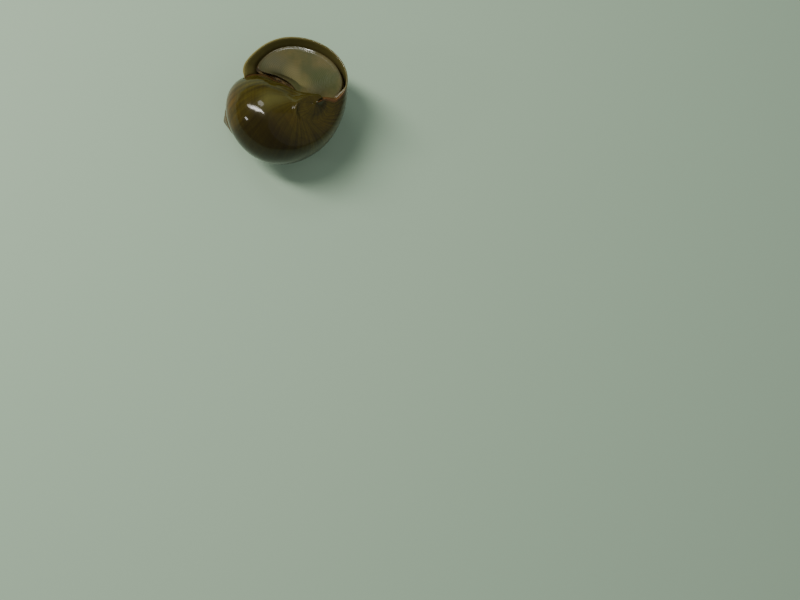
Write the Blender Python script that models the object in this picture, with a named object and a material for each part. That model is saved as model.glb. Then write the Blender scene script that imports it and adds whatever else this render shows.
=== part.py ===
import bpy
import bmesh
import numpy as np
from math import log, pi
from mathutils import Matrix, Vector

# Apple snail, withdrawn behind its operculum and lying on its back.
# Sizes are in millimetres and become metres when a mesh is made.
MM = 0.001

# Shell: a right-handed coil in which each whorl is the one before it, enlarged.
whorl_growth = 1.95
shell_wall = 1.0
seam = 0.3

# Outline of the last whorl at the lip: distance from the axis, depth below the apex.
periphery = (23.9, 30.5)
shoulder = [(16.2, 16.4), (20.5, 20.2), (23.1, 25.2)]
base = [(23.2, 36.6), (20.6, 43.1), (16.3, 48.0), (11.5, 50.0), (7.4, 48.5), (4.3, 45.4)]
columella = [(7.1, 27.9), (5.3, 30.9), (4.4, 34.8), (4.3, 40.2), (5.7, 44.6), (8.6, 47.6)]
parietal_steps = 8
axis_hole = 0.45
axis_bottom = 44.2

# Lip: how far its upper corner leads and its base trails, and the parts behind it.
lip_lead = 9.5
lip_corner_lead = 2.0
lip_corner_share = 0.14
lip_band = 4.0
operculum_recess = 2.2
operculum_thick = 1.2
operculum_dish = 0.9
operculum_rim_gap = 0.75
operculum_columella_gap = 0.15
operculum_parietal_gap = 1.5
body_end = -1.95

# Pose: up when at rest and the side that faces the viewer, in the shell's own axes.
rest_up = (-0.126, -0.688, -0.7145)
viewer_side = (-0.115, -0.875, -0.47)
rest_flat_depth = 0.28

# Steps round one whorl.
body_steps = 84
penultimate_steps = 64
early_steps = 32
early_turns = 3

growth = log(whorl_growth) / (2 * pi)
suture = (periphery[0] / whorl_growth, periphery[1] / whorl_growth)


def spline(points, per_span):
    # Smooth curve through the points, each span cut into per_span pieces.
    p = np.asarray(points, float)
    p = np.vstack([2 * p[0] - p[1], p, 2 * p[-1] - p[-2]])
    out = []
    for a, b, c, d in zip(p[:-3], p[1:-2], p[2:-1], p[3:]):
        for t in np.arange(per_span) / per_span:
            out.append(0.5 * (2 * b + (c - a) * t + (2 * a - 5 * b + 4 * c - d) * t * t
                              + (3 * b - a - 3 * c + d) * t ** 3))
    out.append(p[-2])
    return np.array(out)


def inset(curve, distance):
    # Move a curve towards its left side by a distance.
    tangent = np.gradient(curve, axis=0)
    tangent /= np.linalg.norm(tangent, axis=1)[:, None]
    return curve + distance * np.stack([-tangent[:, 1], tangent[:, 0]], 1)


def on_shell(profile, angle, shift=(0.0, 0.0)):
    # Place outline points at angles along the coil; shift is in real millimetres.
    profile = np.asarray(profile, float)
    angle = np.asarray(angle, float)
    scale = np.exp(growth * angle)
    shift = np.asarray(shift, float)
    radius = profile[..., 0] * scale + shift[..., 0]
    depth = profile[..., 1] * scale + shift[..., 1]
    return np.stack([radius * np.cos(angle), -radius * np.sin(angle), -depth], -1)


per_span = 3
outline = spline([suture] + shoulder + [periphery] + base, per_span)
visible = per_span * (len(shoulder) + 1)
top_depth = outline[:, 1].min()
aperture_height = outline[:, 1].max() - top_depth


def lip_angle(profile, behind=0.0):
    # Angle of the sloping lip surface, or of a surface some way behind it.
    profile = np.asarray(profile, float)
    share = (profile[..., 1] - top_depth) / aperture_height
    lead = lip_lead * (1 - 2 * share)
    lead = lead + lip_corner_lead * np.clip(1 - share / lip_corner_share, 0, 1) ** 2
    return lead / np.maximum(profile[..., 0], 7.5) - behind / np.maximum(profile[..., 0], 3.0)


def grid_faces(rows, closed=False):
    # Quads between successive rows of vertex numbers.
    faces = []
    for a, b in zip(rows[:-1], rows[1:]):
        count = len(a)
        for i in range(count if closed else count - 1):
            j = (i + 1) % count
            faces.append((a[i], a[j], b[j], b[i]))
    return faces


class Shape:
    # Vertices and faces of one closed body.
    def __init__(self):
        self.points = []
        self.faces = []

    def row(self, points):
        start = len(self.points)
        self.points.extend(tuple(p) for p in np.asarray(points).reshape(-1, 3))
        return list(range(start, len(self.points)))

    def point(self, point):
        return self.row([point])[0]

    def fan(self, ring, centre):
        for i in range(len(ring)):
            self.faces.append((ring[i], ring[(i + 1) % len(ring)], centre))


def tube(sections):
    # Closed body from like sections, capped by a flat face at each end.
    shape = Shape()
    rows = [shape.row(section) for section in sections]
    shape.faces += grid_faces(rows, closed=True)
    shape.faces += [tuple(rows[0]), tuple(rows[-1])]
    return shape


def whorl_section(angle, count):
    # Section of a covered whorl: the seen strip and the ramps down to the axis.
    strip = outline[:count + 1]
    ring = [on_shell((0, suture[1]), angle, (axis_hole, seam / 2))]
    for k, p in enumerate(strip):
        shift = seam / 2 if k == 0 else (-seam / 2 if k == count else 0.0)
        ring.append(on_shell(p, angle, (0, shift)))
    ring.append(on_shell((0, periphery[1]), angle, (axis_hole, -seam / 2)))
    return ring


def stand_back(points, side):
    # Move an end face off the face it meets by half a seam, less near the axis.
    points = np.array(points)
    away = np.hypot(points[..., 0], points[..., 1])
    points[..., 1] += side * seam / 2 * np.minimum(1, away / 3)
    return points


def penultimate_whorl():
    angles = np.linspace(-4 * pi, -2 * pi, penultimate_steps + 1)
    sections = [whorl_section(angle, visible) for angle in angles]
    sections[0] = stand_back(sections[0], -1)
    sections[-1] = stand_back(sections[-1], 1)
    return tube(sections)


def early_whorls():
    # First whorls as one solid cap, each row welded to the whorl above it.
    shape = Shape()
    strip = outline[:visible + 1]
    total = early_turns * early_steps
    rows = []
    for k in range(total + 1):
        angle = -4 * pi - 2 * pi * (total - k) / early_steps
        ring = on_shell(strip, np.full(len(strip), angle))
        if k > total - early_steps - 1:
            ring[-1, 2] += seam / 2
        if k == total:
            ring = stand_back(ring, 1)
        if k < early_steps:
            rows.append(shape.row(ring))
        else:
            rows.append([rows[k - early_steps][-1]] + shape.row(ring[1:]))
    shape.faces += grid_faces(rows)
    tip = shape.point(on_shell((0, suture[1] * 0.8), -4 * pi - 2 * pi * early_turns))
    first = [row[0] for row in rows[:early_steps + 1]]
    shape.fan(first + rows[0][::-1][1:-1], tip)
    # Underside: a ramp from the last suture to a small ring about the axis.
    last = rows[total - early_steps:]
    ring = []
    for k in range(early_steps + 1):
        angle = -6 * pi + 2 * pi * k / early_steps
        place = on_shell((0, periphery[1]), angle, (axis_hole / 2, -seam / 2))
        ring.append(shape.point(stand_back(place, 1) if k == early_steps else place))
    shape.faces += grid_faces([[row[-1] for row in last], ring])
    top = shape.point(on_shell((0, periphery[1] * 0.9), -6 * pi))
    for a, b in zip(ring[:-1], ring[1:]):
        shape.faces.append((a, b, top))
    shape.faces.append(tuple(rows[-1]) + (ring[-1], top, ring[0]))
    return shape


inner_wall = inset(outline, shell_wall)
inner_wall[:, 0] = np.maximum(inner_wall[:, 0], suture[0] + seam)
parietal = outline[visible:visible + parietal_steps + 1] / whorl_growth
inner_edge = np.vstack([parietal, spline([parietal[-1]] + columella, 2)[1:]])
band_end = len(outline) - 2 * per_span - 1


def body_whorl():
    # Solid up to body_end, then a thin wall that reaches the lip's band.
    shape = Shape()
    count = len(outline)
    angles = np.linspace(-2 * pi, body_end, int(body_steps * (1 + body_end / (2 * pi))) + 1)
    rows = []
    tops = []
    bottoms = []
    for k, angle in enumerate(angles):
        shift = np.zeros((count, 2))
        shift[0] = (0, seam / 2)
        ring = on_shell(outline, np.full(count, angle), shift)
        top = on_shell((0, suture[1]), angle, (axis_hole, seam / 2))
        bottom = on_shell((0, axis_bottom), angle, (axis_hole, 0))
        if k == 0:
            ring, top, bottom = (stand_back(p, -1) for p in (ring, top, bottom))
        rows.append(shape.row(ring))
        tops.append(shape.point(top))
        bottoms.append(shape.point(bottom))
    shape.faces += grid_faces(rows)
    shape.faces += grid_faces([tops, [row[0] for row in rows]])
    shape.faces += grid_faces([[row[-1] for row in rows], bottoms])
    shape.faces += grid_faces([bottoms, tops])
    shape.faces.append(tuple([tops[0]] + rows[0] + [bottoms[0]]))
    # Wall beyond the solid part.
    wall = outline[:band_end + 1]
    lining = inner_wall[:band_end + 1]
    ends = lip_angle(wall, lip_band)
    steps = 14
    outer = [rows[-1][:band_end + 1]]
    inner = []
    for k in range(steps + 1):
        part = k / steps
        angle = body_end + (ends - body_end) * part
        shift = np.zeros((len(wall), 2))
        shift[0] = (seam * min(1, part * 4), seam / 2)
        if k:
            outer.append(shape.row(on_shell(wall, angle, shift)))
        inner.append(shape.row(on_shell(lining, angle)))
    shape.faces += grid_faces(outer)
    shape.faces += grid_faces(inner)
    shape.faces += grid_faces([outer[-1], inner[-1]])
    shape.faces += grid_faces([[a[0] for a in outer], [b[0] for b in inner]])
    shape.faces += grid_faces([[a[-1] for a in outer], [b[-1] for b in inner]])
    # Flat end of the solid part, behind the foot.
    shape.faces.append(tuple([tops[-1], rows[-1][0]] + inner[0] + rows[-1][band_end:]
                             + [bottoms[-1]]))
    return shape


def outer_lip():
    # Thin band along the edge of the aperture, with a slightly finer rim.
    shape = Shape()
    wall = outline[:band_end + 1]
    lining = inner_wall[:band_end + 1]
    rim = inset(outline, shell_wall * 0.7)[:band_end + 1]
    rim[:, 0] = np.maximum(rim[:, 0], suture[0] + seam * 1.5)
    outer = []
    inner = []
    steps = 4
    for k in range(steps + 1):
        part = k / steps
        behind = (lip_band - seam * 1.2) * (1 - part)
        side = wall + (inset(outline, 0.12)[:band_end + 1] - wall) * part ** 2
        shift = np.zeros((len(wall), 2))
        shift[0] = (seam, seam / 2)
        outer.append(shape.row(on_shell(side, lip_angle(wall, behind), shift)))
        inner.append(shape.row(on_shell(lining + (rim - lining) * part,
                                        lip_angle(wall, behind))))
    shape.faces += grid_faces(outer)
    shape.faces += grid_faces(inner)
    for a, b in ((outer[0], inner[0]), (outer[-1], inner[-1])):
        shape.faces += grid_faces([a, b])
    for i in (0, -1):
        shape.faces += grid_faces([[a[i] for a in outer], [b[i] for b in inner]])
    return shape


def inner_lip():
    # Parietal wall and columella: the inner side of the aperture.
    shape = Shape()
    tail = outline[band_end:].copy()
    tail[0] += (tail[1] - tail[0]) * 0.3
    edge = np.vstack([inner_edge, tail])
    edge[:2, 0] -= (seam, seam / 2)
    count = len(edge)
    depth = suture[1] + (axis_bottom - suture[1]) * np.linspace(0, 1, count)
    layers = 5
    steps = 12
    shells = []
    for k in range(steps + 1):
        part = k / steps
        grid = []
        for layer in range(layers + 1):
            across = layer / layers
            profile = np.stack([edge[:, 0] * across, depth + (edge[:, 1] - depth) * across], 1)
            shift = np.zeros((count, 2))
            shift[:, 0] = axis_hole * (1 - across)
            shift[0, 1] = seam / 2
            radius = profile[:, 0] + shift[:, 0]
            start = body_end + seam / radius
            end = np.minimum(lip_angle(profile), 0) - seam / 2 / radius
            end = np.maximum(end, start + 0.05)
            angle = start + (end - start) * part
            grid.append(on_shell(profile, angle, shift))
        shells.append(grid)
    block = [[[None] * count for _ in range(layers + 1)] for _ in range(steps + 1)]
    for k in range(steps + 1):
        for j in range(layers + 1):
            for i in range(count):
                if k in (0, steps) or j in (0, layers) or i in (0, count - 1):
                    block[k][j][i] = shape.point(shells[k][j][i])
    for k in (0, steps):
        shape.faces += grid_faces(block[k])
    for j in (0, layers):
        shape.faces += grid_faces([block[k][j] for k in range(steps + 1)])
    for i in (0, count - 1):
        shape.faces += grid_faces([[block[k][j][i] for j in range(layers + 1)]
                                   for k in range(steps + 1)])
    return shape


# Room inside the aperture, and its middle.
aperture_middle = np.array([14.3, 33.0])
room_outline = np.vstack([inner_wall[:band_end + 1], inner_edge[::-1]])


def room(ray, clear):
    # How far a ray runs from the middle before it comes this near to the walls.
    start = room_outline
    side = np.roll(start, -1, axis=0) - start
    reach = np.arange(0, 26, 0.04)
    points = aperture_middle + reach[:, None] * ray
    along = ((points[:, None] - start) * side).sum(-1) / (side ** 2).sum(-1)
    foot_of = start + np.clip(along, 0, 1)[..., None] * side
    apart = np.linalg.norm(points[:, None] - foot_of, axis=-1).min(axis=1)
    return reach[np.argmax(apart < clear)]


def plug(clearance, front, back, rings, count, dish=0.0, steps=1, soften=0):
    # Body that fills the aperture's room between two surfaces.
    shape = Shape()
    directions = np.linspace(-pi, pi, count, endpoint=False)
    ray = np.stack([np.cos(directions), np.sin(directions)], 1)
    reach = np.array([room(r, seam * 1.4) for r in ray]) - clearance(directions)
    for _ in range(soften):
        near = np.minimum(reach, (np.roll(reach, 1) + np.roll(reach, -1)) / 2)
        reach = near

    def ring(part, surface):
        profile = aperture_middle + ray * (reach * part)[:, None]
        return on_shell(profile, surface(profile, part))

    middle = aperture_middle[None]
    faces_of = []
    for surface in (front, back):
        rows = [shape.row(ring(part, surface)) for part in rings]
        shape.faces += grid_faces(rows, closed=True)
        centre = shape.point(on_shell(middle, surface(middle, 0.0))[0])
        shape.fan(rows[0], centre)
        faces_of.append(rows[-1])
    side = [faces_of[0]]
    for k in range(1, steps):
        part = k / steps
        profile = aperture_middle + ray * reach[:, None]
        angle = front(profile, 1.0) * (1 - part) + back(profile, 1.0) * part
        side.append(shape.row(on_shell(profile, angle)))
    side.append(faces_of[1])
    shape.faces += grid_faces(side, closed=True)
    return shape


def operculum():
    def near(directions, middle, width):
        apart = np.angle(np.exp(1j * (directions - middle)))
        return np.exp(-(apart / width) ** 2)

    def clearance(directions):
        # Close against the columella, widest beside the bulge of the whorl before.
        gap = operculum_rim_gap
        gap = gap + (operculum_columella_gap - gap) * near(directions, 2.7, 0.8)
        return gap + (operculum_parietal_gap - gap) * near(directions, -2.1, 0.5)

    def front(profile, part):
        dish = operculum_dish * (1 - part ** 2)
        return lip_angle(profile, operculum_recess + dish)

    def back(profile, part):
        dish = operculum_dish * (1 - part ** 2)
        return lip_angle(profile, operculum_recess + operculum_thick + dish)

    return plug(clearance, front, back, (0.25, 0.5, 0.75, 0.92, 1.0), 52, soften=6)


def foot():
    behind = operculum_recess + operculum_thick + seam * 1.5

    def clearance(directions):
        return np.zeros(len(directions))

    def front(profile, part):
        return lip_angle(profile, behind + operculum_dish * (1 - part ** 2))

    def back(profile, part):
        return np.full(len(profile), body_end) + seam / profile[:, 0]

    return plug(clearance, front, back, (0.25, 0.5, 0.75, 0.92, 1.0), 52, steps=10)


def rest_axes():
    # Turn the shell so that rest_up points up and the viewer's side points to -Y.
    up = Vector(rest_up).normalized()
    side = Vector(viewer_side)
    side = (side - up * side.dot(up)).normalized()
    right = up.cross(-side) * -1
    return Matrix((right, -side, up))


def material(name, colour, roughness):
    mat = bpy.data.materials.new(name)
    mat.use_nodes = True
    shader = mat.node_tree.nodes["Principled BSDF"]
    shader.inputs["Base Color"].default_value = (*colour, 1)
    shader.inputs["Roughness"].default_value = roughness
    shader.inputs["Metallic"].default_value = 0
    mat.diffuse_color = (*colour, 1)
    return mat


def mesh_object(name, shape, mat, turn, floor):
    bm = bmesh.new()
    verts = [bm.verts.new(turn @ Vector(p) * MM) for p in shape.points]
    for face in shape.faces:
        bm.faces.new([verts[i] for i in face])
    bmesh.ops.recalc_face_normals(bm, faces=bm.faces)
    if floor is not None:
        # Small flat on which this whorl rests.
        cut = bmesh.ops.bisect_plane(bm, geom=bm.verts[:] + bm.edges[:] + bm.faces[:],
                                     dist=1e-7, plane_co=(0, 0, floor), plane_no=(0, 0, -1),
                                     clear_outer=True)
        edges = [e for e in cut["geom_cut"] if isinstance(e, bmesh.types.BMEdge)]
        bmesh.ops.contextual_create(bm, geom=edges)
    bmesh.ops.triangulate(bm, faces=bm.faces[:], quad_method="FIXED")
    mesh = bpy.data.meshes.new(name)
    bm.to_mesh(mesh)
    bm.free()
    mesh.materials.append(mat)
    obj = bpy.data.objects.new(name, mesh)
    bpy.context.scene.collection.objects.link(obj)
    return obj


for old in list(bpy.data.objects):
    bpy.data.objects.remove(old, do_unlink=True)

parts = {
    "body_whorl": (body_whorl(), (0.085, 0.065, 0.022), 0.22),
    "penultimate_whorl": (penultimate_whorl(), (0.105, 0.070, 0.022), 0.24),
    "early_whorls": (early_whorls(), (0.135, 0.085, 0.030), 0.28),
    "outer_lip": (outer_lip(), (0.150, 0.120, 0.060), 0.25),
    "inner_lip": (inner_lip(), (0.180, 0.090, 0.045), 0.30),
    "operculum": (operculum(), (0.210, 0.190, 0.130), 0.35),
    "foot": (foot(), (0.060, 0.045, 0.030), 0.40),
}
turn = rest_axes()
resting = ("body_whorl", "penultimate_whorl", "early_whorls")
lowest = min((turn @ Vector(p)).z for name in resting for p in parts[name][0].points)
floor = (lowest + rest_flat_depth) * MM
made = []
for name, (shape, colour, roughness) in parts.items():
    cut = floor if name in resting else None
    made.append(mesh_object(name, shape, material(name, colour, roughness), turn, cut))

# Stand the snail on the floor, centred over the origin.
corners = [v.co for obj in made for v in obj.data.vertices]
low = Vector([min(c[i] for c in corners) for i in range(3)])
high = Vector([max(c[i] for c in corners) for i in range(3)])
shift = Vector((-(low.x + high.x) / 2, -(low.y + high.y) / 2, -floor))
for obj in made:
    for vert in obj.data.vertices:
        vert.co += shift
        if abs(vert.co.z) < 1e-7:
            vert.co.z = 0
    for polygon in obj.data.polygons:
        polygon.use_smooth = True
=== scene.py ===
from math import log, pi, radians

import bpy
import numpy as np
from mathutils import Matrix, Vector


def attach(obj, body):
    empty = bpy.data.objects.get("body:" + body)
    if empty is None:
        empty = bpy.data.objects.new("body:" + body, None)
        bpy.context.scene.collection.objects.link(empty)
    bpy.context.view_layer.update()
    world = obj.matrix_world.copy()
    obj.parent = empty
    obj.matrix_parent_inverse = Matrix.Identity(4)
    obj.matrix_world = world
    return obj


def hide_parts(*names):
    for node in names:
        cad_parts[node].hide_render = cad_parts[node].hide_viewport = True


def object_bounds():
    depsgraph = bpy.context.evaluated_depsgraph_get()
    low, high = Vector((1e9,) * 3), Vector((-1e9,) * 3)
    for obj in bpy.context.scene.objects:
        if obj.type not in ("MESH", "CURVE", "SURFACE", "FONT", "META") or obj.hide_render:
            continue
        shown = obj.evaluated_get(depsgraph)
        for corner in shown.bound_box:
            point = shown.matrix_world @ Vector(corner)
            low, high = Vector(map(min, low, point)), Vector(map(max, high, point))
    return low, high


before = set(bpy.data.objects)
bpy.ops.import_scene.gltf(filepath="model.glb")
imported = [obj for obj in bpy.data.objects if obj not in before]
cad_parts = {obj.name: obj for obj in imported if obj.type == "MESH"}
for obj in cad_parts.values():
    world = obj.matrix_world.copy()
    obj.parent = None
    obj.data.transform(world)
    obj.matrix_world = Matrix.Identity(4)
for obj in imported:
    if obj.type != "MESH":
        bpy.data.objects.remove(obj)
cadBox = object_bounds()
print("frame loaded:", sorted(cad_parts))

# Sizes of the coil are millimetres in the shell's own axes: apex at the origin, axis down.
coil = {
    "growthPerWhorl": 1.95,
    "whorls": 5.6,
    "shoulder": [(16.2, 16.4), (20.5, 20.2), (23.1, 25.2)],
    "periphery": (23.9, 30.5),
    "base": [(23.2, 36.6), (20.6, 43.1), (16.3, 48.0), (11.5, 50.0), (7.4, 48.5), (4.3, 45.4)],
    "columella": [(7.1, 27.9), (5.3, 30.9), (4.4, 34.8), (4.3, 40.2), (5.7, 44.6), (8.6, 47.6)],
    "pillarEnd": [(3.9, 42.4), (3.0, 44.0)],
    "umbilicus": [(4.3, 45.4), (3.1, 44.9), (1.6, 44.5), (0.5, 44.2), (0.42, 40.0), (0.42, 34.0),
                  (0.42, 27.0), (0.42, 20.0), (0.9, 17.2), (4.0, 16.9), (8.0, 16.6), (11.0, 16.4)],
    "lipLead": 9.5,
    "cornerLead": 2.0,
    "cornerShare": 0.14,
    "sutureDip": 0.35,
    "sutureReach": 1.1,
}

# How the shell lies: what points up, what faces the viewer, and where the apex comes to be.
rest = {
    "up": (-0.126, -0.688, -0.7145),
    "viewerSide": (-0.115, -0.875, -0.47),
    "apex": (0.0059383, -0.0191745, -0.0002669),
}

# Camera, in metres in the frame of the model, at the photograph's viewing angle.
cameraView = {
    "place": (0.065798, -0.035788, 0.277954),
    "look": (-0.007547, 0.293304, -0.955989),
    "up": (-0.997615, -0.067803, -0.012927),
    "lens": 35.01,
    "sensor": 36.0,
}


def addCamera():
    data = bpy.data.cameras.new("camera")
    data.sensor_width = cameraView["sensor"]
    data.lens = cameraView["lens"]
    data.clip_start = 0.01
    camera = bpy.data.objects.new("camera", data)
    back = -Vector(cameraView["look"]).normalized()
    right = Vector(cameraView["up"]).cross(back).normalized()
    turned = Matrix((right, back.cross(right), back)).transposed().to_4x4()
    camera.matrix_world = Matrix.Translation(cameraView["place"]) @ turned
    bpy.context.scene.collection.objects.link(camera)
    bpy.context.scene.camera = camera


addCamera()
print("camera set")

# Node helpers.


def connect(tree, socket, value):
    # A socket is linked, anything else becomes the input's own value.
    if isinstance(value, bpy.types.NodeSocket):
        tree.links.new(value, socket)
    else:
        socket.default_value = value


def addNode(tree, kind, values=None, **settings):
    made = tree.nodes.new(kind)
    for key, value in settings.items():
        setattr(made, key, value)
    for key, value in (values or {}).items():
        connect(tree, made.inputs[key], value)
    return made


def calculator(tree):
    # Short way to write sums as Math nodes.
    def calc(operation, *values, clamp=False):
        made = addNode(tree, "ShaderNodeMath", operation=operation, use_clamp=clamp)
        for socket, value in zip(made.inputs, values):
            connect(tree, socket, value)
        return made.outputs[0]
    return calc


# Outline of the whorl.


def smoothCurve(points, perSpan):
    # Smooth curve through the points, each span cut into perSpan pieces.
    p = np.asarray(points, float)
    p = np.vstack([2 * p[0] - p[1], p, 2 * p[-1] - p[-2]])
    out = []
    for a, b, c, d in zip(p[:-3], p[1:-2], p[2:-1], p[3:]):
        for t in np.arange(perSpan) / perSpan:
            out.append(0.5 * (2 * b + (c - a) * t + (2 * a - 5 * b + 4 * c - d) * t * t
                              + (3 * b - a - 3 * c + d) * t ** 3))
    out.append(p[-2])
    return np.array(out)


def movedIn(curve, distance):
    # Curve moved towards its left side, which is the inside of the whorl.
    tangent = np.gradient(curve, axis=0)
    tangent /= np.linalg.norm(tangent, axis=1)[:, None]
    return curve + distance * np.stack([-tangent[:, 1], tangent[:, 0]], 1)


def evenly(curve, count):
    # The same curve at evenly spaced places.
    steps = np.r_[0, np.cumsum(np.linalg.norm(np.diff(curve, axis=0), axis=1))]
    places = np.linspace(0, steps[-1], count)
    return np.stack([np.interp(places, steps, curve[:, i]) for i in (0, 1)], 1)


growth = log(coil["growthPerWhorl"]) / (2 * pi)
suture = tuple(v / coil["growthPerWhorl"] for v in coil["periphery"])
outlineKnots = [suture] + coil["shoulder"] + [coil["periphery"]] + coil["base"]
perSpan = 12
parietalColumns = 8 * perSpan // 3
outline = smoothCurve(outlineKnots, perSpan)
topDepth = outline[:, 1].min()
mouthHeight = outline[:, 1].max() - topDepth
peripheryAt = perSpan * (len(coil["shoulder"]) + 1)
lipEnd = len(outline) - 2 * perSpan - 1


def onShell(profile, angle):
    # Outline points, given as distance from the axis and depth, at angles along the coil.
    scale = np.exp(growth * angle)
    return np.stack([profile[..., 0] * scale * np.cos(angle),
                     -profile[..., 0] * scale * np.sin(angle),
                     -profile[..., 1] * scale], -1)


def lipAngle(profile, behind=0.0):
    # Angle of the sloping mouth surface, or of a surface some way behind it.
    share = (profile[..., 1] - topDepth) / mouthHeight
    lead = coil["lipLead"] * (1 - 2 * share)
    lead = lead + coil["cornerLead"] * np.clip(1 - share / coil["cornerShare"], 0, 1) ** 2
    return lead / np.maximum(profile[..., 0], 7.5) - behind / np.maximum(profile[..., 0], 3.0)


def restMatrix():
    # From shell millimetres to metres on the floor.
    up = Vector(rest["up"]).normalized()
    side = Vector(rest["viewerSide"])
    side = (side - up * side.dot(up)).normalized()
    turned = Matrix((up.cross(side), -side, up)).to_4x4()
    return Matrix.Translation(rest["apex"]) @ turned @ Matrix.Scale(0.001, 4)


toFloor = restMatrix()


def settle(mesh):
    # Lay a mesh on the floor and keep it within the model's box.
    mesh.transform(toFloor)
    places = np.empty(len(mesh.vertices) * 3)
    mesh.vertices.foreach_get("co", places)
    places = places.reshape(-1, 3).clip(np.array(cadBox[0]), np.array(cadBox[1]))
    mesh.vertices.foreach_set("co", places.ravel())
    mesh.update()


def faceOutwards(mesh):
    # A closed mesh whose volume comes out negative is inside out.
    places = np.empty(len(mesh.vertices) * 3)
    mesh.vertices.foreach_get("co", places)
    places = places.reshape(-1, 3)
    mesh.calc_loop_triangles()
    corners = np.empty(len(mesh.loop_triangles) * 3, int)
    mesh.loop_triangles.foreach_get("vertices", corners)
    a, b, c = (places[corners.reshape(-1, 3)[:, i]] for i in range(3))
    if np.einsum("ij,ij->i", a, np.cross(b, c)).sum() < 0:
        mesh.flip_normals()
        mesh.update()


# Materials.

shellFinish = {
    "dark": (0.013, 0.008, 0.001, 1),
    "olive": (0.080, 0.063, 0.006, 1),
    "gold": (0.134, 0.058, 0.002, 1),
    # Paler edge of the outer lip: partly the lip's own colour, partly a painted highlight along the rim.
    "lipMarginAndHighlight": (0.115, 0.098, 0.060, 1),
    "baseMargin": (0.150, 0.062, 0.022, 1),
    "callus": (0.075, 0.034, 0.010, 1),
    "lining": (0.110, 0.094, 0.028, 1),
    # Lining by the suture corner, painted lighter: painted light.
    "paintedLitCornerLining": (0.230, 0.200, 0.062, 1),
    # Ages in whorls where the last whorl turns darker: partly the shell's own darker growth band, partly
    # painted shade.
    "darkBandAndShade": (-0.73, -0.63, -0.50, -0.32),
    # Painted sheen, a pale glow beside the highlight: age in whorls, place across, reach, strength and
    # colour.
    "paintedSheenPatch": (-0.668, 0.71, 0.17, 0.55, (0.150, 0.142, 0.040, 1)),
    # Lining deep in the mouth: partly the interior's own darker tone, partly painted shade.
    "shadedDeepLining": (0.030, 0.020, 0.009, 1),
    "streaksPerWhorl": 70,
    "linesPerWhorl": 430,
    "roughness": (0.26, 0.40),
    "bump": 0.00008,
}


def surfaceMaterial(name):
    mat = bpy.data.materials.new(name)
    mat.use_nodes = True
    tree = mat.node_tree
    return mat, tree, tree.nodes["Principled BSDF"], calculator(tree)


def attribute(tree, name):
    return addNode(tree, "ShaderNodeAttribute", attribute_name=name).outputs["Fac"]


def blendColours(tree, amount, first, second, mode="MIX"):
    made = addNode(tree, "ShaderNodeMix", data_type="RGBA", blend_type=mode)
    connect(tree, made.inputs[0], amount)
    connect(tree, made.inputs[6], first)
    connect(tree, made.inputs[7], second)
    return made.outputs[2]


def rampOf(tree, value, low, high):
    # Smooth step from 0 at low to 1 at high.
    made = addNode(tree, "ShaderNodeMapRange", interpolation_type="SMOOTHSTEP")
    connect(tree, made.inputs["Value"], value)
    connect(tree, made.inputs["From Min"], low)
    connect(tree, made.inputs["From Max"], high)
    return made.outputs["Result"]


def noiseAt(tree, place, scale, detail=3.0, roughness=0.55):
    made = addNode(tree, "ShaderNodeTexNoise",
                   {"Scale": scale, "Detail": detail, "Roughness": roughness})
    tree.links.new(place, made.inputs["Vector"])
    return made.outputs["Fac"]


def combine(tree, x, y, z=0.0):
    made = addNode(tree, "ShaderNodeCombineXYZ")
    for socket, value in zip(made.inputs, (x, y, z)):
        connect(tree, socket, value)
    return made.outputs[0]


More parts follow.
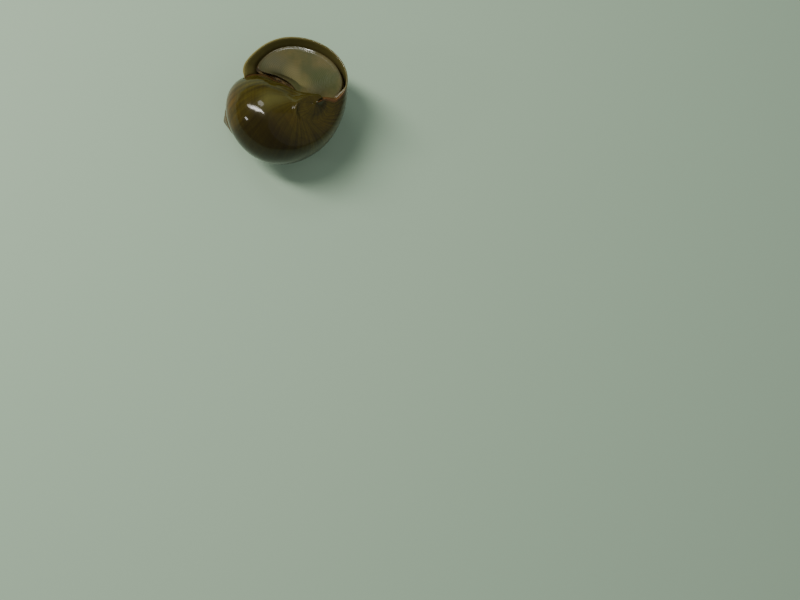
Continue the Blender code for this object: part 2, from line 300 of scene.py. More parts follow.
def shellMaterial():
    mat, tree, shader, calc = surfaceMaterial("wetShellSkin")
    look = shellFinish
    age = attribute(tree, "age")
    across = attribute(tree, "across")
    inside = attribute(tree, "inside")
    place = addNode(tree, "ShaderNodeTexCoord").outputs["Object"]
    streaks = noiseAt(tree, combine(tree, calc("MULTIPLY", age, look["streaksPerWhorl"]),
                                    calc("MULTIPLY", across, 2.2)), 1.0, 4.0, 0.6)
    lines = noiseAt(tree, combine(tree, calc("MULTIPLY", age, look["linesPerWhorl"]),
                                  calc("MULTIPLY", across, 5.0), 3.0), 1.0, 3.0, 0.6)
    bands = noiseAt(tree, combine(tree, calc("MULTIPLY", age, 1.5),
                                  calc("MULTIPLY", across, 30.0), 7.0), 1.0, 2.0, 0.5)
    patches = noiseAt(tree, place, 75.0, 4.0, 0.55)
    shoulder = calc("SUBTRACT", 1.0, rampOf(tree, across, 0.10, 0.50))
    golden = calc("MULTIPLY_ADD", patches, 0.9, calc("MULTIPLY", shoulder, 0.55))
    colour = blendColours(tree, rampOf(tree, golden, 0.42, 0.98), look["olive"], look["gold"])
    # Dark markings of the shell itself: streaks, bands, growth lines and patches.
    darkPattern = calc("MULTIPLY_ADD", streaks, 0.55, calc("MULTIPLY", bands, 0.20))
    darkPattern = calc("MULTIPLY_ADD", lines, 0.15, calc("MULTIPLY_ADD", patches, 0.25, darkPattern))
    darkPattern = calc("MULTIPLY", rampOf(tree, darkPattern, 0.80, 0.40), 0.75)
    colour = blendColours(tree, darkPattern, colour, look["dark"])
    # Darker zone over part of the last whorl, fading towards the base: partly the shell's own darker growth
    # band, partly painted shade.
    begin, full, fading, over = look["darkBandAndShade"]
    zone = calc("MULTIPLY", rampOf(tree, age, begin, full), rampOf(tree, age, over, fading))
    zone = calc("MULTIPLY", zone, rampOf(tree, across, 0.85, 0.60))
    zone = calc("MULTIPLY", zone, calc("MULTIPLY_ADD", patches, 0.5, 0.52, clamp=True))
    colour = blendColours(tree, zone, colour, look["dark"])
    # Pale patch beside the highlight on the last whorl: painted sheen.
    sheenAge, sheenAcross, reach, strength, tint = look["paintedSheenPatch"]
    apart = addNode(tree, "ShaderNodeVectorMath", {
        0: combine(tree, calc("MULTIPLY", age, 2.0), across),
        1: (2 * sheenAge, sheenAcross, 0)}, operation="DISTANCE").outputs["Value"]
    apart = calc("MULTIPLY_ADD", calc("SUBTRACT", patches, 0.5), 0.2, apart)
    colour = blendColours(tree, calc("MULTIPLY", rampOf(tree, apart, reach, 0.0), strength), colour, tint)
    # Margin along the lip: paler at the outer lip, partly a painted highlight along the rim; orange at the
    # base.
    margin = calc("MULTIPLY", rampOf(tree, age, -0.022, -0.004), calc("SUBTRACT", 1.0, inside))
    rim = blendColours(tree, rampOf(tree, across, 0.78, 0.90), look["lipMarginAndHighlight"], look["baseMargin"])
    colour = blendColours(tree, calc("MULTIPLY", margin, 0.65), colour, rim)
    sunk = attribute(tree, "sunk")
    # The lining turns lighter towards the suture corner: painted light.
    lining = blendColours(tree, rampOf(tree, across, 0.08, 0.55), look["paintedLitCornerLining"], look["lining"])
    # Darker deeper in the mouth: partly the interior's own darker tone, partly painted shade.
    lining = blendColours(tree, rampOf(tree, sunk, 0.25, 0.50), lining, look["shadedDeepLining"])
    columellar = attribute(tree, "columellar")
    lining = blendColours(tree, columellar, lining, look["callus"])
    colour = blendColours(tree, inside, colour, lining)
    tree.links.new(colour, shader.inputs["Base Color"])
    gloss = noiseAt(tree, place, 420.0, 3.0, 0.6)
    low, high = look["roughness"]
    tree.links.new(calc("MULTIPLY_ADD", gloss, high - low, low), shader.inputs["Roughness"])
    height = calc("MULTIPLY_ADD", lines, 0.5, calc("MULTIPLY", streaks, 0.5))
    height = calc("MULTIPLY_ADD", noiseAt(tree, place, 900.0, 2.0, 0.5), 0.25, height)
    bump = addNode(tree, "ShaderNodeBump", {"Strength": 0.5, "Distance": look["bump"],
                                            "Height": height})
    tree.links.new(bump.outputs[0], shader.inputs["Normal"])
    shader.inputs["Specular IOR Level"].default_value = 0.03
    shader.inputs["Coat Weight"].default_value = 0.85
    shader.inputs["Coat IOR"].default_value = 1.4
    shader.inputs["Coat Roughness"].default_value = 0.08
    return mat


operculumFinish = {
    "pale": (0.118, 0.100, 0.034, 1),
    "grey": (0.066, 0.074, 0.025, 1),
    "brown": (0.040, 0.027, 0.009, 1),
    "nucleus": (0.170, 0.152, 0.052, 1),
    # Soft patches of tone, some of them painted light and shade: how far outward and along the plate, reach,
    # strength and colour.
    "patches": [
        (0.18, -0.72, 0.50, 0.75, (0.086, 0.090, 0.054, 1)),
        # Paler band beside the nucleus: painted light on a fold of the plate.
        (0.17, -0.26, 0.32, 0.75, (0.170, 0.148, 0.062, 1)),
        # Greener patch towards the base side: partly the plate's own tone, partly a painted green
        # reflection.
        (-0.03, 0.58, 0.45, 0.70, (0.034, 0.062, 0.014, 1)),
        (-0.36, 0.52, 0.52, 0.85, (0.036, 0.035, 0.006, 1)),
        # Dark patch on the parietal side, by the gap to the parietal wall: painted shade.
        (-0.30, -0.68, 0.48, 0.90, (0.024, 0.022, 0.005, 1)),
    ],
    "rings": 26,
    "roughness": (0.42, 0.58),
    "rimRoughness": 0.22,
}


def operculumMaterial():
    mat, tree, shader, calc = surfaceMaterial("operculumPlate")
    look = operculumFinish
    ring = attribute(tree, "ring")
    place = addNode(tree, "ShaderNodeTexCoord").outputs["Object"]
    wobble = noiseAt(tree, place, 110.0, 3.0, 0.5)
    ringWave = calc("SINE", calc("MULTIPLY", calc("MULTIPLY_ADD", wobble, 0.06, ring),
                                 2 * pi * look["rings"]))
    cloud = noiseAt(tree, place, 130.0, 4.0, 0.6)
    colour = blendColours(tree, rampOf(tree, cloud, 0.35, 0.68), look["grey"], look["pale"])
    # Paler towards the nucleus: partly the plate's own paler core, partly painted sheen.
    core = calc("SUBTRACT", 1.0, rampOf(tree, ring, 0.0, 0.35))
    colour = blendColours(tree, calc("MULTIPLY", core, 0.7), colour, look["nucleus"])
    outward = attribute(tree, "outward")
    along = attribute(tree, "along")
    # Soft patches of tone, some of them painted light and shade.
    for patchOut, patchAlong, reach, strength, tint in look["patches"]:
        apart = addNode(tree, "ShaderNodeVectorMath", {
            0: combine(tree, outward, along), 1: (patchOut, patchAlong, 0)}, operation="DISTANCE")
        ragged = calc("MULTIPLY_ADD", calc("SUBTRACT", cloud, 0.5), 0.4, apart.outputs["Value"])
        amount = calc("MULTIPLY", rampOf(tree, ragged, reach, 0.0), strength)
        colour = blendColours(tree, amount, colour, tint)
    colour = blendColours(tree, calc("MULTIPLY_ADD", ringWave, 0.12, 0.12), colour, look["brown"])
    edge = rampOf(tree, ring, 0.90, 1.0)
    colour = blendColours(tree, calc("MULTIPLY", edge, 0.6), colour, look["brown"])
    tree.links.new(colour, shader.inputs["Base Color"])
    gloss = noiseAt(tree, place, 500.0, 3.0, 0.6)
    low, high = look["roughness"]
    rough = calc("MULTIPLY_ADD", gloss, high - low, low)
    lipSide = calc("MULTIPLY_ADD", along, -0.34, calc("MULTIPLY", outward, 0.94))
    wet = calc("MULTIPLY", rampOf(tree, ring, 0.84, 0.90), rampOf(tree, lipSide, 0.55, 0.85))
    rough = calc("MULTIPLY_ADD", calc("SUBTRACT", look["rimRoughness"], rough), wet, rough)
    tree.links.new(rough, shader.inputs["Roughness"])
    height = calc("MULTIPLY_ADD", noiseAt(tree, place, 1400.0, 3.0, 0.6), 0.5, ringWave)
    bump = addNode(tree, "ShaderNodeBump", {"Strength": 0.35, "Distance": 0.00004,
                                            "Height": height})
    tree.links.new(bump.outputs[0], shader.inputs["Normal"])
    shader.inputs["Specular IOR Level"].default_value = 0.10
    tree.links.new(calc("MULTIPLY_ADD", wet, 0.95, 0.03), shader.inputs["Coat Weight"])
    shader.inputs["Coat IOR"].default_value = 1.7
    shader.inputs["Coat Roughness"].default_value = 0.12
    return mat


def footMaterial():
    mat, tree, shader, calc = surfaceMaterial("wetFoot")
    place = addNode(tree, "ShaderNodeTexCoord").outputs["Object"]
    mottle = noiseAt(tree, place, 650.0, 4.0, 0.65)
    colour = blendColours(tree, rampOf(tree, mottle, 0.40, 0.66), (0.030, 0.020, 0.006, 1),
                          (0.105, 0.070, 0.022, 1))
    tree.links.new(colour, shader.inputs["Base Color"])
    shader.inputs["Specular IOR Level"].default_value = 0.15
    tree.links.new(calc("MULTIPLY_ADD", mottle, 0.2, 0.5), shader.inputs["Roughness"])
    bump = addNode(tree, "ShaderNodeBump", {"Strength": 0.6, "Distance": 0.0001,
                                            "Height": mottle})
    tree.links.new(bump.outputs[0], shader.inputs["Normal"])
    shader.inputs["Subsurface Weight"].default_value = 0.15
    shader.inputs["Subsurface Scale"].default_value = 0.001
    return mat


# Shell.

# Counts and sizes of the coil's mesh; the wrinkle depth is a share of the whorl's size.
shellMesh = {
    "Growth per whorl": coil["growthPerWhorl"],
    "Whorls": coil["whorls"],
    "Coil rows": 480,
    "Row crowding": 0.6,
    "Rim rows": 14,
    "Pocket rows": 22,
    "Cap rows": 6,
    "Nose rows": 8,
    "Lip lead": coil["lipLead"],
    "Mouth top": topDepth,
    "Mouth height": mouthHeight,
    "Corner lead": coil["cornerLead"],
    "Corner share": coil["cornerShare"],
    "Pillar turn": 3.1,
    "Pillar flatness": 5.5,
    "Pillar depth": 40.1,
    "Rim bulge": 0.38,
    "Pocket end": -1.95,
    "Wrinkle depth": 0.075,
    "Wrinkles per whorl": 62.0,
    "Dent depth": 0.05,
    "Seed": 4.0,
}
shellWall = {"deep": 1.0, "rim": 0.62, "callus": 0.16, "hiddenColumns": 44}


def innerSide():
    # Inner side of the mouth, from the suture down the whorl before to the columella's foot.
    parietal = outline[peripheryAt:peripheryAt + parietalColumns + 1] / coil["growthPerWhorl"]
    pillar = smoothCurve(np.vstack([parietal[-1:], coil["columella"]]), 12)
    return parietal, pillar


def sectionRing():
    # Closed section of a whorl: the seen outline, then the hidden side back to the suture.
    along = np.r_[0, np.cumsum(np.linalg.norm(np.diff(outline, axis=0), axis=1))]
    seen = outline.copy()
    seen[:, 1] += coil["sutureDip"] * np.exp(-(along / coil["sutureReach"]) ** 2)
    hidden = shellWall["hiddenColumns"]
    back = evenly(smoothCurve(coil["umbilicus"], 8), hidden + 1)[1:]
    outer = np.vstack([seen, back])
    share = np.linspace(0, 1, hidden + 1)[1:]

    # Where the last whorl starts, its base is drawn out as the front of the columella.
    parietal, pillar = innerSide()
    front = np.vstack([parietal[-1:], coil["columella"][:4], coil["pillarEnd"]])
    drawnOut = evenly(smoothCurve(front, 12), len(outline) - peripheryAt - parietalColumns)
    drawn = np.vstack([seen[:peripheryAt + parietalColumns + 1],
                       drawnOut[1:] * coil["growthPerWhorl"]])
    ratio = drawn[-1] / outer[len(outline) - 1]
    fade = np.clip(1 - share / 0.75, 0, 1)[:, None]
    drawn = np.vstack([drawn, back * (1 + (ratio - 1) * fade * (1, 1))])

    # Lining: under the outer wall, round the base and up the columella to the corner.
    side = np.vstack([parietal, pillar[1:]])
    depthShare = np.linspace(1, 0, len(side))[:, None]
    side = side + (movedIn(side, -shellWall["callus"]) - side) * np.minimum(1, depthShare * 3)
    turnAt = int(np.argmin(np.linalg.norm(side - np.array(coil["columella"][-2]), axis=1)))
    linings = []
    for thick in (shellWall["rim"], shellWall["deep"]):
        wall = movedIn(outline, thick)[:lipEnd + 1]
        nearest = np.interp(wall[:, 1], side[:, 1], side[:, 0])
        wall[:, 0] = np.where(wall[:, 1] < 30, np.maximum(wall[:, 0], nearest + 0.02), wall[:, 0])
        tail = evenly(np.vstack([wall[-1:], side[turnAt:][::-1]]), len(outline) - lipEnd)
        up = evenly(np.vstack([side[:turnAt + 1][::-1], wall[:1]]), hidden + 1)
        linings.append(np.vstack([wall, tail[1:], up[1:]]))

    count = len(outer)
    values = {
        "across": np.r_[along / along[-1], np.ones(hidden)],
        "shown": np.r_[0, 0.4, 0.8, np.ones(len(outline) - 3), np.zeros(hidden)],
        "columellar": np.clip((np.arange(count) - lipEnd) / (len(outline) - lipEnd), 0, 1),
        "pillar": np.clip((np.arange(count) - peripheryAt - parietalColumns) / perSpan, 0, 1),
        "lipHere": lipAngle(drawn / coil["growthPerWhorl"]),
        "plug": np.interp(np.arange(count) - len(outline) + 1,
                          np.array([-2.5 * perSpan, -2 * perSpan, -perSpan, 0]
                                   + [hidden * v for v in (0.10, 0.16, 0.20, 0.45)]),
                          [0, 0.04, 0.32, 0.68, 0.82, 0.93, 1, 0]),
    }
    return {"position": outer, "drawn": drawn, "rim": linings[0], "wall": linings[1]}, values


def shellTree():
    tree = bpy.data.node_groups.new("coiledShell", "GeometryNodeTree")
    face = tree.interface
    face.new_socket("Section", in_out="INPUT", socket_type="NodeSocketGeometry")
    for name, value in shellMesh.items():
        kind = "NodeSocketInt" if isinstance(value, int) else "NodeSocketFloat"
        face.new_socket(name, in_out="INPUT", socket_type=kind).default_value = value
    face.new_socket("Material", in_out="INPUT", socket_type="NodeSocketMaterial")
    face.new_socket("Shell", in_out="OUTPUT", socket_type="NodeSocketGeometry")
    given = tree.nodes.new("NodeGroupInput").outputs
    calc = calculator(tree)

    # Grid of rows along the coil and columns round the section.
    size = addNode(tree, "GeometryNodeAttributeDomainSize", {"Geometry": given["Section"]})
    columns = size.outputs["Point Count"]
    rowEnds = [given["Coil rows"]]
    for name in ("Rim rows", "Pocket rows", "Cap rows"):
        rowEnds.append(calc("ADD", rowEnds[-1], given[name]))
    grid = addNode(tree, "GeometryNodeMeshGrid", {
        "Vertices X": calc("ADD", rowEnds[-1], 1.0), "Vertices Y": calc("ADD", columns, 1.0)})
    index = tree.nodes.new("GeometryNodeInputIndex").outputs[0]
    width = calc("ADD", columns, 1.0)
    row = calc("FLOOR", calc("DIVIDE", calc("ADD", index, 0.5), width))
    column = calc("SUBTRACT", index, calc("MULTIPLY", row, width))
    column = calc("MODULO", calc("ADD", calc("ROUND", column), 0.25), columns)

    def stage(k):
        # How far a row is through the k-th stretch of rows, from 0 to 1.
        first = rowEnds[k - 1] if k else 0.0
        return calc("DIVIDE", calc("SUBTRACT", row, first),
                    calc("SUBTRACT", rowEnds[k], first), clamp=True)

    wound, rounded, sunk, capped = (stage(k) for k in range(4))

    def section(name, kind="FLOAT_VECTOR"):
        if name == "position":
            value = tree.nodes.new("GeometryNodeInputPosition").outputs[0]
        else:
            value = addNode(tree, "GeometryNodeInputNamedAttribute", {"Name": name},
                            data_type=kind).outputs["Attribute"]
        return addNode(tree, "GeometryNodeSampleIndex",
                       {"Geometry": given["Section"], "Value": value, "Index": column},
                       data_type=kind, domain="POINT").outputs[0]

    def between(amount, first, second):
        made = addNode(tree, "ShaderNodeMix", data_type="VECTOR")
        connect(tree, made.inputs[0], amount)
        connect(tree, made.inputs[4], first)
        connect(tree, made.inputs[5], second)
        return made.outputs[1]

    def split(vector):
        parts = addNode(tree, "ShaderNodeSeparateXYZ", {"Vector": vector}).outputs
        return parts[0], parts[2]

    def lead(place):
        # Angle by which an old lip runs ahead at this place of the section.
        away, depth = split(place)
        share = calc("DIVIDE", calc("SUBTRACT", depth, given["Mouth top"]), given["Mouth height"])
        ahead = calc("MULTIPLY", given["Lip lead"], calc("MULTIPLY_ADD", share, -2.0, 1.0))
        corner = calc("SUBTRACT", 1.0, calc("DIVIDE", share, given["Corner share"]), clamp=True)
        ahead = calc("MULTIPLY_ADD", calc("POWER", corner, 2.0), given["Corner lead"], ahead)
        return calc("DIVIDE", ahead, calc("MAXIMUM", away, 7.5))

    # Rows are old lips, crowded towards the apex.
    rate = calc("DIVIDE", calc("LOGARITHM", given["Growth per whorl"], np.e), 2 * pi)
    slow = calc("MULTIPLY", rate, given["Row crowding"])
    start = calc("EXPONENT", calc("MULTIPLY", calc("MULTIPLY", given["Whorls"], -2 * pi), slow))
    reached = calc("MULTIPLY_ADD", wound, calc("SUBTRACT", 1.0, start), start)
    age = calc("DIVIDE", calc("LOGARITHM", reached, np.e), slow)

    # The start of the last whorl is drawn out as the pillar, rounded off and lost ahead of the lip.
    ahead = calc("ADD", calc("ADD", age, lead(section("position"))), 2 * pi)
    ahead = calc("SUBTRACT", ahead, section("lipHere", "FLOAT"))
    ease = addNode(tree, "ShaderNodeMapRange", {
        "Value": ahead, "From Min": 0.0, "From Max": given["Pillar turn"],
        "To Min": 1.0, "To Max": 0.0}, interpolation_type="SMOOTHSTEP").outputs[0]
    skin = between(ease, section("position"), section("drawn"))
    turn = calc("SINE", calc("MINIMUM", calc("MAXIMUM", ahead, 0.0), pi / 2))
    flat = calc("MULTIPLY_ADD", calc("MULTIPLY", turn, turn), given["Pillar flatness"], 1.0)
    flat = calc("SUBTRACT", calc("INVERSE_SQRT", flat), 1.0)
    flat = calc("MULTIPLY", calc("MULTIPLY", flat, ease), section("pillar", "FLOAT"))
    narrow = addNode(tree, "ShaderNodeCombineXYZ", {"X": calc("ADD", flat, 1.0), "Y": 1.0, "Z": 1.0})
    skin = addNode(tree, "ShaderNodeVectorMath", {0: skin, 1: narrow.outputs[0]},
                   operation="MULTIPLY").outputs[0]

    # From the skin over the rim to the lining, then in to the cap behind the foot.
    turned = calc("SUBTRACT", 0.5, calc("MULTIPLY", 0.5, calc("COSINE", calc("MULTIPLY", rounded, pi))))
    profile = between(turned, skin, section("rim"))
    profile = between(calc("MULTIPLY", sunk, 2.2, clamp=True), profile, section("wall"))
    profile = between(capped, profile, (14.0, 0.0, 33.0))
    nose = calc("DIVIDE", row, given["Nose rows"], clamp=True)
    nose = calc("SQRT", calc("SUBTRACT", 1.0, calc("POWER", calc("SUBTRACT", 1.0, nose), 2.0)))
    profile = between(nose, (10.0, 0.0, 30.0), profile)
    away, depth = split(profile)
    lip = calc("MULTIPLY_ADD", turned, calc("SUBTRACT", lead(profile), lead(section("position"))),
               lead(section("position")))
    back = calc("SUBTRACT", 1.0, calc("SINE", calc("MULTIPLY", rounded, pi)))
    back = calc("DIVIDE", calc("MULTIPLY", back, given["Rim bulge"]), calc("MAXIMUM", away, 3.0))
    front = calc("MULTIPLY_ADD", lip, nose, calc("SUBTRACT", age, back))
    depthIn = calc("POWER", sunk, 2.0)
    angle = calc("MULTIPLY_ADD", depthIn, calc("SUBTRACT", given["Pocket end"], front), front)
    scale = calc("EXPONENT", calc("MULTIPLY", angle, rate))
    deep = calc("MULTIPLY", depth, scale)
    recent = addNode(tree, "ShaderNodeMapRange", {
        "Value": age, "From Min": -2 * pi - 1.5, "From Max": -2 * pi - 0.2},
        interpolation_type="SMOOTHSTEP").outputs[0]
    plug = calc("MULTIPLY", section("plug", "FLOAT"), calc("SUBTRACT", 1.0, turned))
    plug = calc("MULTIPLY", plug, recent)
    deep = calc("MULTIPLY_ADD", plug,
                calc("MAXIMUM", calc("SUBTRACT", given["Pillar depth"], deep), 0.0), deep)
    pinch = addNode(tree, "ShaderNodeMapRange", {
        "Value": plug, "From Min": 0.85, "From Max": 1.0, "To Min": 1.0, "To Max": 0.05},
        interpolation_type="SMOOTHSTEP").outputs[0]
    reach = calc("MULTIPLY", calc("MULTIPLY", away, scale), pinch)
    spot = addNode(tree, "ShaderNodeCombineXYZ", {
        "X": calc("MULTIPLY", reach, calc("COSINE", angle)),
        "Y": calc("MULTIPLY", calc("MULTIPLY", reach, calc("SINE", angle)), -1.0),
        "Z": calc("MULTIPLY", deep, -1.0)}).outputs[0]

    # What the material and the relief read is kept on the points before they move.
    columellar = section("columellar", "FLOAT")
    edgeFrom = calc("MULTIPLY", columellar, 0.80)
    inside = calc("DIVIDE", calc("SUBTRACT", turned, edgeFrom), 0.2, clamp=True)
    mesh = grid.outputs["Mesh"]
    keep = {"age": calc("DIVIDE", age, 2 * pi), "across": section("across", "FLOAT"),
            "inside": inside, "sunk": sunk, "columellar": columellar, "whorlSize": scale,
            "relief": calc("MULTIPLY", section("shown", "FLOAT"),
                           calc("LESS_THAN", row, given["Coil rows"]))}
    for name, value in keep.items():
        mesh = addNode(tree, "GeometryNodeStoreNamedAttribute",
                       {"Geometry": mesh, "Name": name, "Value": value},
                       data_type="FLOAT", domain="POINT").outputs[0]
    mesh = addNode(tree, "GeometryNodeSetPosition", {"Geometry": mesh, "Position": spot}).outputs[0]
    mesh = addNode(tree, "GeometryNodeMergeByDistance", {"Geometry": mesh, "Distance": 0.0004}).outputs[0]

    def kept(name):
        return addNode(tree, "GeometryNodeInputNamedAttribute", {"Name": name},
                       data_type="FLOAT").outputs["Attribute"]

    # Growth wrinkles along old lips, and shallow dents.
    def relief(perWhorl, acrossScale, detail):
        place = addNode(tree, "ShaderNodeCombineXYZ", {
            "X": calc("MULTIPLY", kept("age"), perWhorl),
            "Y": calc("MULTIPLY", kept("across"), acrossScale), "Z": given["Seed"]}).outputs[0]
        noise = addNode(tree, "ShaderNodeTexNoise",
                        {"Vector": place, "Scale": 1.0, "Detail": detail, "Roughness": 0.5})
        return calc("SUBTRACT", noise.outputs[0], 0.5)

    lift = calc("MULTIPLY", relief(given["Wrinkles per whorl"], 1.6, 2.0), given["Wrinkle depth"])
    lift = calc("MULTIPLY_ADD", relief(16.0, 7.0, 1.0), given["Dent depth"], lift)
    lift = calc("MULTIPLY", calc("MULTIPLY", lift, 2.0), calc("MULTIPLY", kept("relief"), kept("whorlSize")))
    offset = addNode(tree, "ShaderNodeVectorMath", {
        0: tree.nodes.new("GeometryNodeInputNormal").outputs[0]}, operation="SCALE")
    connect(tree, offset.inputs["Scale"], lift)
    mesh = addNode(tree, "GeometryNodeSetPosition",
                   {"Geometry": mesh, "Offset": offset.outputs[0]}).outputs[0]
    mesh = addNode(tree, "GeometryNodeSetShadeSmooth", {"Geometry": mesh}).outputs[0]
    mesh = addNode(tree, "GeometryNodeRealizeInstances", {"Geometry": mesh}).outputs[0]
    mesh = addNode(tree, "GeometryNodeSetMaterial",
                   {"Geometry": mesh, "Material": given["Material"]}).outputs[0]
    leaving = tree.nodes.new("NodeGroupOutput")
    tree.links.new(mesh, leaving.inputs[0])
    return tree


def makeShell():
    curves, values = sectionRing()
    count = len(curves["position"])
    start = bpy.data.meshes.new("section")
    start.from_pydata([(p[0], 0, p[1]) for p in curves.pop("position")],
                      [(i, (i + 1) % count) for i in range(count)], [])
    for name, curve in curves.items():
        made = start.attributes.new(name, "FLOAT_VECTOR", "POINT")
        made.data.foreach_set("vector", [v for p in curve for v in (p[0], 0, p[1])])
    for name, numbers in values.items():
        start.attributes.new(name, "FLOAT", "POINT").data.foreach_set("value", numbers)
    shell = bpy.data.objects.new("wholeShell", start)
    bpy.context.scene.collection.objects.link(shell)
    tree = shellTree()
    grow = shell.modifiers.new("coil", "NODES")
    grow.node_group = tree
    for item in tree.interface.items_tree:
        if item.in_out == "INPUT" and item.name in shellMesh:
            grow[item.identifier] = shellMesh[item.name]
        elif item.in_out == "INPUT" and item.name == "Material":
            grow[item.identifier] = shellMaterial()
    graph = bpy.context.evaluated_depsgraph_get()
    made = bpy.data.meshes.new_from_object(shell.evaluated_get(graph))
    shell.modifiers.remove(grow)
    shell.data = made
    settle(made)
    faceOutwards(made)
    return shell


shell = makeShell()
print("shell made:", len(shell.data.polygons), "faces")

# Mouth: operculum and withdrawn foot.

# Depths behind the lip, in millimetres.
mouth = {
    "middle": (14.3, 33.0),
    "nucleus": (9.2, 31.5),
    "recess": 2.2,
    "thickness": 1.2,
    "dish": 0.9,
    "rimGap": 0.75,
    "columellaGap": 0.15,
    "parietalGap": 1.5,
    "ridges": (0.895, 0.960),
    "ridgeHalfWidth": 0.035,
    "ridgeHeight": 0.07,
    "seam": 0.3,
    "footEnd": -1.95,
}


def roomCurve():
    wall = movedIn(outline, shellWall["deep"])[:lipEnd + 1]
    wall[:, 0] = np.maximum(wall[:, 0], suture[0] + mouth["seam"])
    parietal, pillar = innerSide()
    return np.vstack([wall, np.vstack([parietal, pillar[1:]])[::-1]])


def reachOf(ray, curve, clear):
    # How far a ray runs from the middle before it comes this near to the walls.
    side = np.roll(curve, -1, axis=0) - curve
    side[np.linalg.norm(side, axis=1) < 1e-9] = (1e-6, 0)
    steps = np.arange(0, 26, 0.04)
    points = np.array(mouth["middle"]) + steps[:, None] * ray
    share = ((points[:, None] - curve) * side).sum(-1) / (side ** 2).sum(-1)
    nearest = curve + np.clip(share, 0, 1)[..., None] * side
    apart = np.linalg.norm(points[:, None] - nearest, axis=-1).min(axis=1)
    return steps[np.argmax(apart < clear)]


def mouthRays(count):
    directions = np.linspace(-pi, pi, count, endpoint=False)
    rays = np.stack([np.cos(directions), np.sin(directions)], 1)
    curve = roomCurve()
    return directions, rays, np.array([reachOf(r, curve, mouth["seam"] * 1.4) for r in rays])


def softened(values, rounds):
    for _ in range(rounds):
        values = (np.roll(values, 1) + 2 * values + np.roll(values, -1)) / 4
    return values


def closedRings(name, rings, extras, mat):
    # Closed piece from like rings with a point at each end.
    count = len(rings[1])
    points = [rings[0][0]]
    faces = []
    for ring in rings[1:-1]:
        points.extend(ring)
    points.append(rings[-1][0])
    last = len(points) - 1
    for i in range(count):
        j = (i + 1) % count
        faces.append((0, 1 + i, 1 + j))
        for k in range(len(rings) - 3):
            a = 1 + k * count
            faces.append((a + j, a + i, a + count + i, a + count + j))
        a = last - count
        faces.append((a + j, a + i, last))
    mesh = bpy.data.meshes.new(name)
    mesh.from_pydata([tuple(p) for p in points], [], faces)
    for key, values in extras.items():
        flat = [values[0][0]] + [v for row in values[1:-1] for v in row] + [values[-1][0]]
        mesh.attributes.new(key, "FLOAT", "POINT").data.foreach_set("value", flat)
    mesh.materials.append(mat)
    settle(mesh)
    faceOutwards(mesh)
    mesh.polygons.foreach_set("use_smooth", [True] * len(mesh.polygons))
    piece = bpy.data.objects.new(name, mesh)
    bpy.context.scene.collection.objects.link(piece)
    return piece


def makeOperculum():
    directions, rays, reach = mouthRays(180)

    def near(middle, width):
        return np.exp(-(np.angle(np.exp(1j * (directions - middle))) / width) ** 2)

    gap = mouth["rimGap"] + (mouth["columellaGap"] - mouth["rimGap"]) * near(2.7, 0.8)
    gap = gap + (mouth["parietalGap"] - gap) * near(-2.1, 0.5)
    reach = softened(reach - gap, 10)
    middle = np.array(mouth["middle"])
    nucleus = np.array(mouth["nucleus"])
    rng = np.random.default_rng(7)
    ringWidths = rng.uniform(0.6, 1.4, 40)
    ringStops = np.r_[0, np.cumsum(ringWidths)] / ringWidths.sum()
    rounding = 0.42
    ridgeHeight = mouth["ridgeHeight"] * (0.15 + 0.85 * near(-0.35, 0.65))  # tallest beside the outer lip
    rings = []
    ringValues = []
    for part in np.r_[0, np.linspace(0.012, 0.94, 92), 1 - 0.06 * (1 - np.linspace(0, 1, 10)[1:]) ** 2]:
        profile = middle + rays * (reach * part)[:, None] + (nucleus - middle) * (1 - part) ** 1.5
        behind = mouth["recess"] + mouth["dish"] * (1 - part ** 2)
        within = (np.searchsorted(ringStops, part) - 1) if part > 0 else 0
        stop = ringStops[max(within, 0):max(within, 0) + 2]
        saw = (part - stop[0]) / (stop[1] - stop[0]) if len(stop) == 2 else 0
        behind -= 0.02 * (saw ** 2 - 0.4) * min(1, part * 6) * (part < 0.97)
        for ridge in mouth["ridges"]:
            away = np.clip((part - ridge) / mouth["ridgeHalfWidth"], -1, 1)
            behind = behind - ridgeHeight * np.cos(away * pi / 2) ** 2
        edge = np.clip((part - 0.94) / 0.06, 0, 1)
        behind += rounding * (1 - np.sqrt(1 - edge ** 2))
        rings.append(onShell(profile, lipAngle(profile, behind)))
        ringValues.append(np.full(len(rays), part))
    for k, part in enumerate(np.r_[1.0, 0.985, 0.96, np.linspace(0.9, 0.0, 12)]):
        profile = middle + rays * (reach * part)[:, None]
        behind = mouth["recess"] + mouth["thickness"] + mouth["dish"] * (1 - part ** 2)
        behind -= (0.35, 0.12, 0.0)[k] if k < 3 else 0
        rings.append(onShell(profile, lipAngle(profile, behind)))
        ringValues.append(np.full(len(rays), part))
    extras = {"ring": ringValues, "outward": [v * rays[:, 0] for v in ringValues],
              "along": [v * rays[:, 1] for v in ringValues]}
    return closedRings("operculumPlate", rings, extras, operculumMaterial())


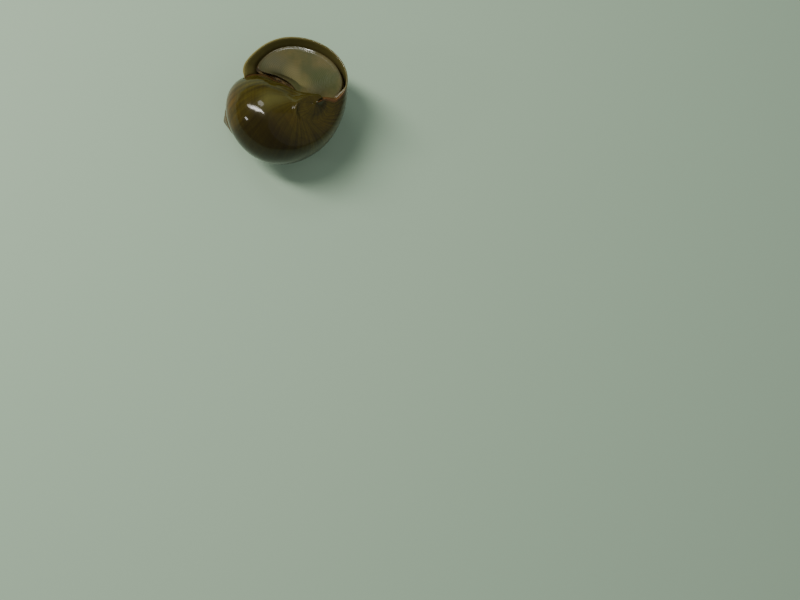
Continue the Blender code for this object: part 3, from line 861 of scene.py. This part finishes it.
def makeFoot():
    directions, rays, reach = mouthRays(120)
    middle = np.array(mouth["middle"])
    start = mouth["recess"] + mouth["thickness"] + mouth["seam"] * 1.5
    reach = softened(reach, 2) - 0.02
    rings = []
    for part in np.r_[np.linspace(0, 0.93, 24), 0.96, 0.98, 0.993, 1.0]:
        profile = middle + rays * (reach * part)[:, None]
        behind = start + mouth["dish"] * (1 - part ** 2)
        folds = np.sin(directions * 17 + 3 * np.sin(directions * 3)) * 0.5 + 0.5
        behind = behind + 0.5 * max(0, part - 0.93) / 0.07 + 0.25 * part * folds
        rings.append(onShell(profile, lipAngle(profile, behind)))
    front = lipAngle(middle + rays * reach[:, None], start + 0.75)
    for step in np.linspace(0, 1, 14)[1:]:
        profile = middle + rays * reach[:, None]
        rings.append(onShell(profile, front + (mouth["footEnd"] - front) * step * 0.97))
    for part in (0.7, 0.4, 0.0):
        profile = middle + rays * (reach * part)[:, None]
        rings.append(onShell(profile, front * 0 + mouth["footEnd"] * 0.97 + front * 0.03))
    return closedRings("withdrawnFoot", rings, {}, footMaterial())


operculum = makeOperculum()
print("operculum made")
foot = makeFoot()
print("foot made")

for piece, slot, nodes in (
        (shell, "shell", ("body_whorl", "penultimate_whorl", "early_whorls", "outer_lip", "inner_lip")),
        (operculum, "operculum", ("operculum",)),
        (foot, "foot", ("foot",))):
    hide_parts(*nodes)
    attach(piece, "root")

# Floor and light.

studio = {
    "floorColour": (0.43, 0.59, 0.43, 1),
    "floorSize": 6.0,
    "worldColour": (0.78, 0.84, 0.80, 1),
    "worldStrength": 0.22,
    "lampDistance": 0.80,
}


def addFloor():
    half = studio["floorSize"] / 2
    mesh = bpy.data.meshes.new("floor")
    mesh.from_pydata([(-half, -half, 0), (half, -half, 0), (half, half, 0), (-half, half, 0)], [],
                     [(0, 1, 2, 3)])
    mat, tree, shader, calc = surfaceMaterial("paleFloor")
    shader.inputs["Base Color"].default_value = studio["floorColour"]
    shader.inputs["Roughness"].default_value = 0.65
    mesh.materials.append(mat)
    floor = bpy.data.objects.new("floor", mesh)
    floor.location.z = -0.00002
    bpy.context.scene.collection.objects.link(floor)


def addLamp(name, compass, height, size, power, colour=(1, 1, 1)):
    # Oval lamp that faces the snail from a compass angle and a height angle, in degrees.
    data = bpy.data.lights.new(name, "AREA")
    data.shape = "ELLIPSE"
    data.size, data.size_y = size
    data.energy = power
    data.color = colour
    lamp = bpy.data.objects.new(name, data)
    spin = Matrix.Rotation(radians(compass + 90), 4, "Z") @ Matrix.Rotation(radians(90 - height), 4, "X")
    lamp.matrix_world = spin @ Matrix.Translation((0, 0, studio["lampDistance"]))
    bpy.context.scene.collection.objects.link(lamp)


addFloor()
addLamp("softKey", -110, 48, (0.16, 0.52), 3.5, (1.0, 0.97, 0.91))
addLamp("keyCore", -109, 50, (0.08, 0.42), 2.1, (1.0, 0.98, 0.94))
addLamp("smallLamp", -77, 23, (0.07, 0.07), 0.25)
addLamp("edgeLamp", -142, 49, (0.24, 0.14), 0.5)
addLamp("softFill", 60, 52, (1.8, 1.8), 1.2, (0.94, 0.98, 1.0))
world = bpy.data.worlds.new("paleRoom")
world.use_nodes = True
background = world.node_tree.nodes["Background"]
background.inputs["Color"].default_value = studio["worldColour"]
background.inputs["Strength"].default_value = studio["worldStrength"]
bpy.context.scene.world = world
print("floor and light set")
